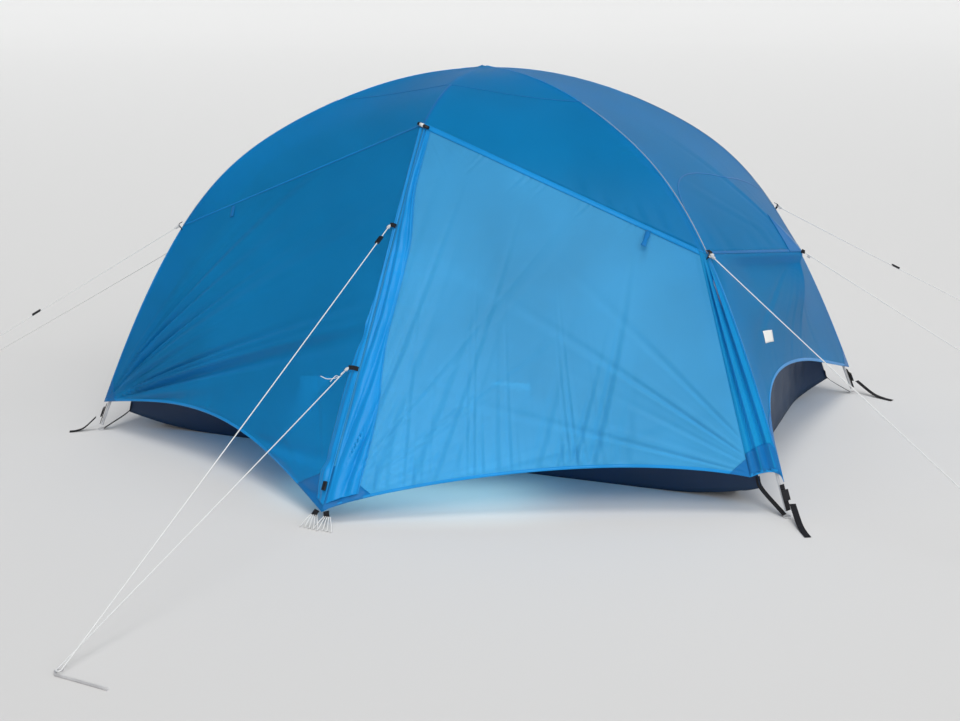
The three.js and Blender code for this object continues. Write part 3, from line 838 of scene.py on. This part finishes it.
def front_patches(sy):
    """The fixed panel and the door's band of one vestibule."""
    fixed = Panel(fixed_panel(sy), 170, 140, fixed_relief(sy))
    band = Panel(door_band(sy), 40, 100, band_relief, mask_depth=0.012)
    along, part = grid((0.012, 0.985, 240), (0, 1, 12))
    side_u = part * share_of_row(fixed, along, 0.012 + 0.028 * smooth((along - 0.45) / 0.3))
    loop_u, loop_v = grid((0.765, 0.778, 4), (0.02, 0.10, 8))
    return [
        fixed.patch(), band.patch(BAND),
        fixed.edge_band("v1", 0.008, TAPE),
        fixed.edge_band("v0", 0.004, PATCH),
        fixed.overlay(side_u, along, TAPE, 0.002 + 0.5 * crumple(part, along + 0.4)),
        fixed.corner_patch((0.0, 1.0), (0.11, -0.10), PATCH),
        *leg_details(fixed, "u1"),
        fixed.overlay(loop_u - 0.25 * loop_v, loop_v, PATCH, 0.004 + 0.02 * (loop_v - 0.02)),
        band.edge_band("v1", 0.008, TAPE),
        band.edge_band("u1", 0.004, TAPE),
        band.overlay(*grid((0.01, 0.99, 12), (0.9, 0.995, 8)), PATCH, 0.0013),
    ]


def door_patches(sy):
    door = Panel(door_panel(sy), 300, 200, door_relief(sy))
    along, part = grid((0.012, 0.985, 260), (0, 1, 24))
    width = 0.022 + 0.028 * smooth((along - 0.15) / 0.2) + 0.032 * smooth((along - 0.55) / 0.3)
    u = 0.004 + part * share_of_row(door, along, width)
    flap = door.overlay(u, along, TAPE, 0.003 + crumple(part, along))
    loop_u, loop_v = grid((0.825, 0.84, 4), (0.015, 0.10, 8))
    return [
        door.patch(), flap,
        door.edge_band("v1", 0.009, TAPE),
        door.edge_band("v0", 0.014, TAPE),
        door.line_band(u[-1], along[-1], 0.006, TAPE, lift=0.0024),
        door.corner_patch((0.0, 1.0), (0.11, -0.11), PATCH),
        door.corner_patch((1.0, 1.0), (-0.05, -0.08), PATCH),
        door.overlay(loop_u - 0.30 * loop_v, loop_v, PATCH, 0.004 + 0.25 * (loop_v - 0.015)),
    ]


def add_fly():
    patches = []
    for sy in ENDS.values():
        for sx in SIDES.values():
            patches += roof_patches(sx, sy)
        patches += front_patches(sy)
    for sx in SIDES.values():
        patches += hood_patches(sx) + end_patches(sx)
    fly = build_mesh("fly_shell", patches, FLY_MATERIALS)
    link(thicken(fly))
    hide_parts("fly_crown", *[f"fly_roof_{part}" for part in (*ENDS, *SIDES)],
                *[f"fly_end_{side}" for side in SIDES], *[f"fly_panel_{end}" for end in ENDS],
                *[f"fly_door_band_{end}" for end in ENDS])
    for end, sy in ENDS.items():
        door = build_mesh(f"door_cloth_{end}", door_patches(sy), DOOR_MATERIALS)
        link(thicken(door), f"door_{end}")
        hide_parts(f"fly_door_{end}")


# Inner tent

def inner_pole(sx, sy, t):
    return INNER_SCALE * pole_point(sx, sy, t)


def inner_drop(v):
    """Place on the pole, from the inner roof's edge to the foot of the inner wall."""
    return INNER_CAP_T + (INNER_FOOT_T - INNER_CAP_T) * v


def inner_wall(start, end):
    """A wall of the inner tent between two poles, each given by the signs of its corner."""
    return lambda u, v: mix(inner_pole(*start, inner_drop(v)), inner_pole(*end, inner_drop(v)), u)


def hood_shade_sheet(sx):
    """A dark sheet behind the fly, under the edge of an end hood: painted shade that shows through the
    cloth.
    """
    lower = lower_end(sx)

    def point(u, v):
        behind = 0.045 + 0.02 * np.cos(math.pi * u) ** 2
        return lower(0.06 + 0.50 * u, 0.02 + 0.24 * v) - behind[..., None] * np.array((sx, 0, 0.3))
    return point


def tub_wall_top(x):
    share = smooth((np.abs(x) - 0.86) / 0.12)
    return TUB_SIDE_WALL + (TUB_END_WALL - TUB_SIDE_WALL) * share


def inner_skirt(sy):
    """From the foot of the inner tent's side down to the tub's lower side wall."""
    def point(u, v):
        top = mix(inner_pole(-1, sy, INNER_FOOT_T), inner_pole(1, sy, INNER_FOOT_T), u)
        x = 2 * u - 1
        bottom = stack(x * (TUB_HALF_X + TUB_FLARE), sy * (TUB_HALF_Y + TUB_FLARE), tub_wall_top(x))
        return mix(top, bottom, v)
    return point


def inner_roof(u, v):
    across, along = 2 * u - 1, 2 * v - 1
    reach = np.maximum(np.maximum(np.abs(across), np.abs(along)), 1e-6)
    share, rise = np.moveaxis(bezier(LEG_CONTROL, 1 - (1 - INNER_CAP_T) * reach), -1, 0)
    scale = share / reach
    points = stack(across * scale * HALF_SPAN_X, along * scale * HALF_SPAN_Y, rise * HUB_Z)
    return INNER_SCALE * points


def tub_ring(grow, drawn, height_at, per_side=60):
    """Points round the tub; drawn (0 to 1) is how much of the corners' pull the ring takes."""
    corners = ((1, -1), (1, 1), (-1, 1), (-1, -1))
    ring = []
    for k, (from_x, from_y) in enumerate(corners):
        to_x, to_y = corners[(k + 1) % 4]
        stop = 0.5 - 0.5 * np.cos(np.linspace(0, math.pi, per_side, endpoint=False))
        x, y = from_x + (to_x - from_x) * stop, from_y + (to_y - from_y) * stop
        pull = np.abs(x * y) ** TUB_CORNER_POWER
        ring.append(stack(x * (TUB_HALF_X + grow) + np.sign(x) * pull * drawn * TUB_CORNER[0],
                          y * (TUB_HALF_Y + grow) + np.sign(y) * pull * drawn * TUB_CORNER[1],
                          height_at(x, pull)))
    return np.concatenate(ring)


def add_tub():
    rows = 16
    rings = [tub_ring(-0.1, 0, lambda x, pull: TUB_BASE + 0 * x),
             tub_ring(-0.05, 0.3, lambda x, pull: TUB_BASE + 0.3 * pull * TUB_CORNER[2])]
    for row in range(rows + 1):
        part = row / rows
        ring = tub_ring(TUB_FLARE * part, 1 - part, lambda x, pull:
                        TUB_BASE + (1 - part) * pull * TUB_CORNER[2] + part * tub_wall_top(x))
        around = np.linspace(0, 2 * math.pi, len(ring), endpoint=False)
        ripple = 0.004 * np.sin(47 * around + 5 * part) + 0.003 * np.sin(31 * around - 7 * part + 1)
        outwards = ring * (1, 1, 0) / np.linalg.norm(ring[:, :2], axis=-1, keepdims=True)
        rings.append(ring + (ripple * math.sin(math.pi * part))[:, None] * outwards)
    points = np.array(rings)
    points = np.concatenate((points, points[:, :1]), axis=1)
    around = np.linspace(0, 6.4, points.shape[1])
    wall = grid_patch(points, np.stack(np.meshgrid(around, np.linspace(0, 0.4, len(rings))), axis=-1), 0)
    floor_x, floor_y = grid((-1, 1, 41), (-1, 1, 25))
    floor_points = stack(floor_x * (TUB_HALF_X - 0.1), floor_y * (TUB_HALF_Y - 0.1),
                         TUB_BASE + 0.0007 * np.sin(9 * floor_x) * np.sin(7 * floor_y))
    floor = grid_patch(floor_points, floor_points[..., :2], 0)
    tub = build_mesh("tub_cloth", [wall, floor], [MATERIALS["tub"]])
    link(thicken(tub, 0.001))
    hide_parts("tub_floor")


def add_inner():
    for side, sx in SIDES.items():
        cloth = Panel(inner_wall((sx, -sx), (sx, sx)), 40, 50, billow(0.004, 0.2, sx)).patch()
        wall = build_mesh(f"inner_cloth_{side}", [cloth], [MATERIALS["inner"]])
        link(thicken(wall))
        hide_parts(f"inner_wall_{side}")
    for end, sy in ENDS.items():
        patches = [Panel(inner_wall((-1, sy), (1, sy)), 60, 40, billow(0.004, 0.25, sy)).patch(),
                   Panel(inner_skirt(sy), 60, 8).patch()]
        side = build_mesh(f"inner_side_{end}", patches, [MATERIALS["inner"]])
        link(thicken(side))
    # Dark sheets behind the hoods' lower edges, as painted shade seen through the fly.
    for side, sx in SIDES.items():
        flap = Panel(hood_shade_sheet(sx), 40, 24).patch()
        shade_sheet = build_mesh(f"hood_shade_sheet_{side}", [flap], [MATERIALS["inner"]])
        link(thicken(shade_sheet))
    roof = build_mesh("inner_roof_cloth", [Panel(inner_roof, 48, 40).patch()], [MATERIALS["inner"]])
    link(thicken(roof))
    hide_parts("inner_roof")


# Straps, ties and small hardware

def strap(points, width=0.018, thickness=0.0014, side=(0, 0, 1), count=26):
    """A flat webbing strap through a few points; side is the way its width lies."""
    return sweep(curve_through(points, count), flat_section(width, thickness), side)


def webbing_object(name, straps):
    solid_object(name, straps, MATERIALS["webbing"], smooth_sides=False)


def cord_object(name, cords):
    solid_object(name, cords, MATERIALS["cord"])


def cord_loop(points, radius=0.0011, count=30):
    return sweep(curve_through(points, count), circle(radius, 8))


def ring_points(centre, axis, radius, turns=1.0, rise=0.0, count=24):
    axis = unit(np.asarray(axis, float))
    first = unit(np.cross(axis, (0.13, 0.28, 0.95)))
    second = np.cross(axis, first)
    angle = np.linspace(0, 2 * math.pi * turns, count)
    lift = np.linspace(-0.5, 0.5, count) * rise
    return (np.asarray(centre) + radius * np.cos(angle)[:, None] * first
            + radius * np.sin(angle)[:, None] * second + lift[:, None] * axis)


def knot(at, axis, radius=0.0035):
    """A few turns of cord round the line."""
    return sweep(ring_points(at, axis, radius, turns=3.0, rise=0.012, count=48), circle(0.0013, 8))


def add_corner_straps():
    """At each pole foot: the fly's strap and its free tail, the tub's strap, and a ring."""
    straps, rings = [], []
    for corner, (sx, sy) in CORNERS.items():
        foot = np.array((sx * HALF_SPAN_X, sy * HALF_SPAN_Y, 0.0))
        out = leg_outwards(sx, sy)
        across = np.array((-out[1], out[0], 0))
        tail_x, tail_y = STRAP_TAIL[corner]
        start = foot + 0.012 * out + (0, 0, 0.046)
        end = np.array((tail_x, tail_y, 0.002))
        bend = 0.55 * start + 0.45 * end
        straps.append(strap([start, (*bend[:2], 0.012), (*(0.25 * start + 0.75 * end)[:2], 0.003), end],
                            side=np.cross(end - start, (0, 0, 1))))
        tub = np.array((sx * (TUB_HALF_X + TUB_CORNER[0]), sy * (TUB_HALF_Y + TUB_CORNER[1]),
                        TUB_CORNER[2]))
        upper = mix(tub, np.array((sx * TUB_HALF_X, sy * TUB_HALF_Y, TUB_END_WALL)), 0.12)
        straps.append(strap([upper, tub + 0.004 * out, foot - 0.014 * out + (0, 0, 0.006)],
                            width=0.017, side=np.cross(foot - tub, out) if sy < 0 else across))
        rings.append(sweep(ring_points(foot + (0, 0, 0.004) - 0.004 * out, (0, 0, 1), 0.010),
                           circle(0.0014, 8)))
        for t in INNER_CLIPS:
            pole = pole_point(sx, sy, t)
            straps.append(strap([pole, mix(pole, inner_pole(sx, sy, t), 0.6), inner_pole(sx, sy, t)],
                                width=0.010, side=(0, 0, 1), count=8))
    webbing_object("corner_webbing", straps)
    solid_object("foot_rings", rings, MATERIALS["peg"])


def add_clip_ties():
    """Webbing tabs and cord knots where the guylines leave the fly."""
    tabs, knots = [], []
    for corner, (sx, sy) in CORNERS.items():
        out, clip = leg_outwards(sx, sy), corner_clip(sx, sy)
        across = np.array((-out[1], out[0], 0))
        tabs.append(strap([clip - 0.010 * out + (0, 0, 0.012), clip + 0.001 * out + (0, 0, 0.004),
                           clip - 0.009 * out - (0, 0, 0.014)], width=0.014, side=across))
        line = unit(np.array((*CORNER_PEG[corner], 0)) - clip)
        knots.append(knot(clip + 0.012 * line, line))
        knots.append(knot(clip + 0.004 * line, across, 0.0045))
    for side, sx in SIDES.items():
        tip = hood_tip(sx)
        tabs.append(strap([tip + (0, -0.008, 0.003), tip + (0.010 * sx, 0, 0), tip + (0, 0.008, 0.003)],
                          width=0.010))
        line = np.array((*HOOD_PEG[side], 0)) - tip
        knots.append(knot(tip + 0.03 * line / np.linalg.norm(line), line))
    for end, sy in ENDS.items():
        peg = np.array((*RIDGE_PEG[end], 0))
        for w, aside in ((RIDGE_GUY_HIGH, 0.012), (RIDGE_GUY_LOW, 0.025)):
            ridge, tie = ridge_point(sy, w), ridge_tie(sy, w, aside)
            halfway = 0.5 * (ridge + tie) + (0, 0.003 * sy, 0.004)
            tabs.append(strap([ridge + (0, 0.004 * sy, 0.004), halfway, tie], width=0.013))
            line = unit(peg - tie)
            knots.append(knot(tie + 0.010 * line, line))
            if w == RIDGE_GUY_LOW:
                bow = tie + 0.050 * line
                knots.append(cord_loop([tie + 0.012 * line, bow + (0.006, 0, 0.010), bow,
                                        bow + (0.030 * sy, 0.012 * sy, -0.006),
                                        bow + (0.052 * sy, 0.018 * sy, 0.002)]))
                knots.append(cord_loop([bow, bow + (0.004 * sy, 0.016 * sy, 0.006),
                                        bow + 0.05 * line + (0, 0, 0.014)]))
    webbing_object("tie_tabs", tabs)
    cord_object("tie_knots", knots)


def add_apex_and_peg_points():
    """The toggle under each brow tip, and the straps and loops that hold the ridge's foot."""
    bars, collars, straps, loops = [], [], [], []
    for end, sy in ENDS.items():
        apex = ridge_point(sy, 0.0) + (0.004 * -sy, 0.012 * sy, -0.004)
        across = unit(np.array((1.0, 0.35 * sy, -0.28)))
        bars.append(sweep([apex - 0.022 * across, apex + 0.022 * across], circle(0.0052, 12)))
        collars.append(sweep([apex - 0.013 * across, apex + 0.002 * across], circle(0.0058, 12)))
        foot = ridge_point(sy, 1.0)
        for aside in (-0.022, 0.026):
            top = foot + (aside * 0.6, 0.002 * sy, 0.006)
            end_of_strap = top + (aside * 0.3, 0.010 * sy, -0.014)
            straps.append(strap([top, mix(top, end_of_strap, 0.5) + (0, 0.002 * sy, 0), end_of_strap],
                                width=0.017, side=(1, 0, 0)))
            for k in range(5):
                lean = 0.005 * (k - 2)
                start = end_of_strap + (lean, -0.001 * sy, 0.002)
                x, y = start[:2]
                loops.append(cord_loop([start, start + (0.6 * lean, 0.010 * sy, -0.008),
                                        (x + 2 * lean, y + (0.030 + 0.4 * lean) * sy, 0.003),
                                        (x + lean - 0.010, y + 0.022 * sy, 0.002)], 0.0013, 16))
    solid_object("apex_bars", bars, MATERIALS["plastic"])
    cord_object("apex_collars", collars)
    webbing_object("ridge_foot_straps", straps)
    cord_object("ridge_foot_loops", loops)


# Carried-over frame nodes

def finish_frame_nodes():
    finishes = {"pole_alloy": "pole", "hub_plastic": "plastic", "webbing": "webbing", "plastic": "plastic",
                "peg_alloy": "peg"}
    for part in frame["record"]["subparts"]:
        finish = finishes.get(part["material_slot"])
        if finish:
            obj = frame["nodes"][part["node"]]
            for place in obj.material_slots:
                place.material = MATERIALS[finish]
            if not obj.material_slots:
                obj.data.materials.append(MATERIALS[finish])


# Stage

UNDER_FLY_WATTS = 0.40          # a weak blue light inside the front vestibule, on the floor there


def aim(obj, place, target):
    obj.location = place
    obj.rotation_euler = (Vector(target) - Vector(place)).to_track_quat("-Z", "Y").to_euler()
    put_in_scene(obj)


def soft_box(name, place, target, size, watts, colour=(1, 1, 1), spread=180):
    light = bpy.data.lights.new(name, "AREA")
    light.color = colour
    light.spread = math.radians(spread)
    light.shape = "RECTANGLE"
    light.size, light.size_y = size
    light.energy = watts
    obj = bpy.data.objects.new(name, light)
    obj.visible_camera = False
    aim(obj, place, target)


def distant(name, place, strength, softness):
    """An even light from far off; softness is its apparent width in degrees."""
    light = bpy.data.lights.new(name, "SUN")
    light.energy = strength
    light.angle = math.radians(softness)
    obj = bpy.data.objects.new(name, light)
    obj.visible_glossy = False
    aim(obj, place, (0, 0, 0))


def backdrop_material():
    """Matt paper, painted a little lighter towards the back: painted light, for the brighter light there.
    """
    n = Nodes("paper")
    place = n.place()
    axes = n.add("ShaderNodeSeparateXYZ", {"Vector": place}).outputs
    back = n.math("SUBTRACT", axes["Y"], n.math("MULTIPLY", axes["X"], 0.4))
    depth = n.math("DIVIDE", n.math("ADD", back, 3.0), n.math("MAXIMUM", n.math("ADD", back, 8.5), 4.0))
    # Painted light: the paper's colour rises towards the back and left, where the light falls brighter.
    tone = n.ramp(depth, (0.54, 0.535, 0.53, 1), (0.91, 0.91, 0.905, 1))
    rough = n.math("ADD", n.math("MULTIPLY", n.noise(place, 0.5, 2.0), 0.05), 0.88)
    return n.finish(n.principled({"Base Color": tone, "Roughness": rough, "Specular IOR Level": 0.1}))


def add_stage():
    """A pale floor that curves up into a backdrop."""
    start, radius = 60, 120
    profile = [(-200, 0), (start, 0)]
    for step in range(1, 13):
        angle = math.pi / 2 * step / 12
        profile.append((start + radius * math.sin(angle), radius - radius * math.cos(angle)))
    profile.append((start + radius, radius + 20))
    vertices = [(x, y, z) for y, z in profile for x in (-200, 200)]
    faces = [(2 * k, 2 * k + 1, 2 * k + 3, 2 * k + 2) for k in range(len(profile) - 1)]
    mesh = new_mesh("backdrop", vertices, faces)
    mesh.materials.append(backdrop_material())
    mesh.shade_smooth()
    backdrop = bpy.data.objects.new("backdrop", mesh)
    put_in_scene(backdrop)
    world = bpy.data.worlds.new("studio")
    world.use_nodes = True
    sky = world.node_tree.nodes["Background"].inputs
    sky["Color"].default_value = (0.98, 0.99, 1.0, 1)
    sky["Strength"].default_value = 0.36
    bpy.context.scene.world = world
    world.cycles_visibility.glossy = False
    distant("overhead", (0.4, -1.2, 6.0), 1.05, 26)
    distant("front_fill", (3.4, -4.0, 2.3), 1.10, 50)
    distant("side_fill", (6.0, 0.5, 2.0), 0.55, 50)
    soft_box("key", (2.4, -4.4, 4.6), (0.4, -0.6, 0.5), (3.4, 2.6), 110)
    soft_box("under_fly", (0.10, -0.78, 0.33), (0.12, -0.87, 0.0), (0.7, 0.2), UNDER_FLY_WATTS,
             (0.52, 0.90, 1.0), spread=70)
    bpy.context.scene.view_settings.view_transform = "Standard"


set_camera()
add_guylines()
add_fly()
add_inner()
add_tub()
add_corner_straps()
add_clip_ties()
add_apex_and_peg_points()
finish_frame_nodes()
add_stage()
